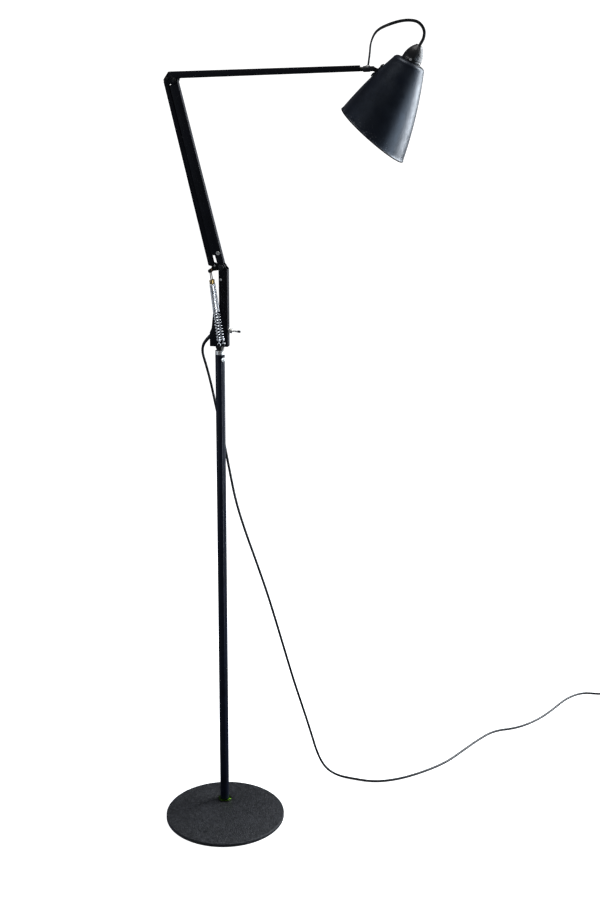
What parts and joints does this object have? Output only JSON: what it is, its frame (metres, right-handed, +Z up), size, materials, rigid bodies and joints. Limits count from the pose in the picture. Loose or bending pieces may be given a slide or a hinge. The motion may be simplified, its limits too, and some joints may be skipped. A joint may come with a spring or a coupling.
{
  "type": "adjustable arm floor lamp",
  "caption": "Floor lamp: round cast base, slim column, spring-balanced parallelogram arm with toggle switch, and a tilting bell shade.",
  "frame": {"origin": "on the column's axis, on the underside of the base's felt pad, at floor level", "axes": "+Z up along the column; +X the side the arm reaches to; -Y the front, where the springs are"},
  "size_m": [1.159, 0.9837, 1.8202],
  "materials": {
    "felt": "wool felt",
    "crackle_paint": "dark grey crackle",
    "column_paint": "satin black",
    "arm_paint": "satin black",
    "shade_enamel": "gloss black outside",
    "nickel": "nickel plate",
    "dark_steel": "blackened",
    "knuckle_metal": "worn, darkened nickel",
    "passivated_steel": "yellow-green passivated",
    "spring_wire": "bright drawn wire",
    "brass": "satin",
    "aged_brass": "aged",
    "bakelite": "moulded bakelite",
    "plug_plastic": "moulded",
    "cord_jacket": "slightly shiny",
    "flex_jacket": "satin twin flex",
    "bulb_metal": "satin",
    "bulb_glass": "opal"
  },
  "bodies": {
    "stand": {"felt_pad": "felt", "base_disc": "crackle_paint", "column_tube": "column_paint", "foot_washer": "dark_steel", "foot_lock_nut": "passivated_steel", "top_collar": "nickel", "set_screw": "nickel", "mains_cord": "cord_jacket", "cord_coil": "cord_jacket", "mains_cord_tail": "cord_jacket", "plug_body": "plug_plastic", "plug_pins": "nickel"},
    "yoke": {"yoke_bracket": "arm_paint", "swivel_spigot": "dark_steel", "spigot_nut": "nickel", "pivot_bolt": "knuckle_metal", "pivot_nut": "knuckle_metal", "pivot_bushes": "nickel", "pivot_washers": "dark_steel", "spring_studs": "knuckle_metal", "side_screw": "nickel", "edge_screw": "dark_steel", "switch_body": "plug_plastic", "switch_barrel": "nickel", "switch_nut": "nickel", "cord_gland": "cord_jacket", "spring_1": "spring_wire", "spring_2": "spring_wire", "spring_adjusters": "brass", "spring_hook_rods": "aged_brass"},
    "toggle": {"toggle_lever": "nickel", "toggle_tip": "plug_plastic"},
    "rocker": {"rocker": "dark_steel", "lower_tail_pin": "nickel", "spring_pin": "knuckle_metal", "spring_eyes": "aged_brass"},
    "lower_arm": {"lower_arm_channel": "arm_paint", "cross_rivet": "nickel", "elbow_pin": "dark_steel"},
    "link_bar": {"link_bar_channel": "arm_paint", "link_rivet": "dark_steel"},
    "upper_arm": {"upper_arm_channel": "arm_paint", "upper_tail_pin": "dark_steel", "tail_spacers": "dark_steel", "arm_end_block": "arm_paint", "arm_end_ferrule": "dark_steel"},
    "knuckle": {"knuckle": "knuckle_metal", "tilt_screw": "dark_steel", "flex_grommet": "cord_jacket"},
    "head": {"shade": "shade_enamel", "shade_strap": "dark_steel", "strap_rivets": "nickel", "head_stem": "dark_steel", "cap": "bakelite", "cap_screw": "nickel", "cap_seat": "cord_jacket", "lampholder": "plug_plastic", "bulb_cap": "bulb_metal", "bulb_glass": "bulb_glass", "flex_loop": "flex_jacket"}
  },
  "joints": [
    {"name": "column_swivel", "type": "hinge", "parent": "stand", "child": "yoke", "pos_m": [0, 0, 1.1223], "axis": [0, 0, 1], "range_deg": [-165, 165], "deforming": ["mains_cord"]},
    {"name": "toggle_throw", "type": "hinge", "parent": "yoke", "child": "toggle", "pos_m": [0.022, 0, 1.166], "axis": [0, 0, 1], "range_deg": [0, 24]},
    {"name": "rocker_tilt", "type": "hinge", "parent": "yoke", "child": "rocker", "pos_m": [0.0075, 0, 1.3065], "axis": [0, -1, 0], "range_deg": [-25, 25], "deforming": ["spring_1", "spring_2", "spring_adjusters", "spring_hook_rods"]},
    {"name": "lower_arm_tilt", "type": "hinge", "parent": "rocker", "child": "lower_arm", "pos_m": [0.0075, 0, 1.3065], "axis": [0, -1, 0], "range_deg": [-38, 26]},
    {"name": "link_bar_turn", "type": "hinge", "parent": "rocker", "child": "link_bar", "pos_m": [-0.0085, 0, 1.3085], "axis": [0, -1, 0], "range_deg": [-38, 26]},
    {"name": "elbow_turn", "type": "hinge", "parent": "lower_arm", "child": "upper_arm", "pos_m": [-0.08907, 0, 1.69673], "axis": [0, -1, 0], "range_deg": [-26, 38]},
    {"name": "head_swivel", "type": "hinge", "parent": "upper_arm", "child": "knuckle", "pos_m": [0.29023, 0, 1.72076], "axis": [0.999, 0, 0.0448], "range_deg": [-90, 90]},
    {"name": "head_tilt", "type": "hinge", "parent": "knuckle", "child": "head", "pos_m": [0.3257, 0, 1.72235], "axis": [0, -1, 0], "range_deg": [-35, 80], "deforming": ["flex_loop"]}
  ],
  "couplings": [
    {"joint": "link_bar_turn", "follows": "lower_arm_tilt", "ratio": 1},
    {"joint": "elbow_turn", "follows": "lower_arm_tilt", "ratio": -1}
  ]
}
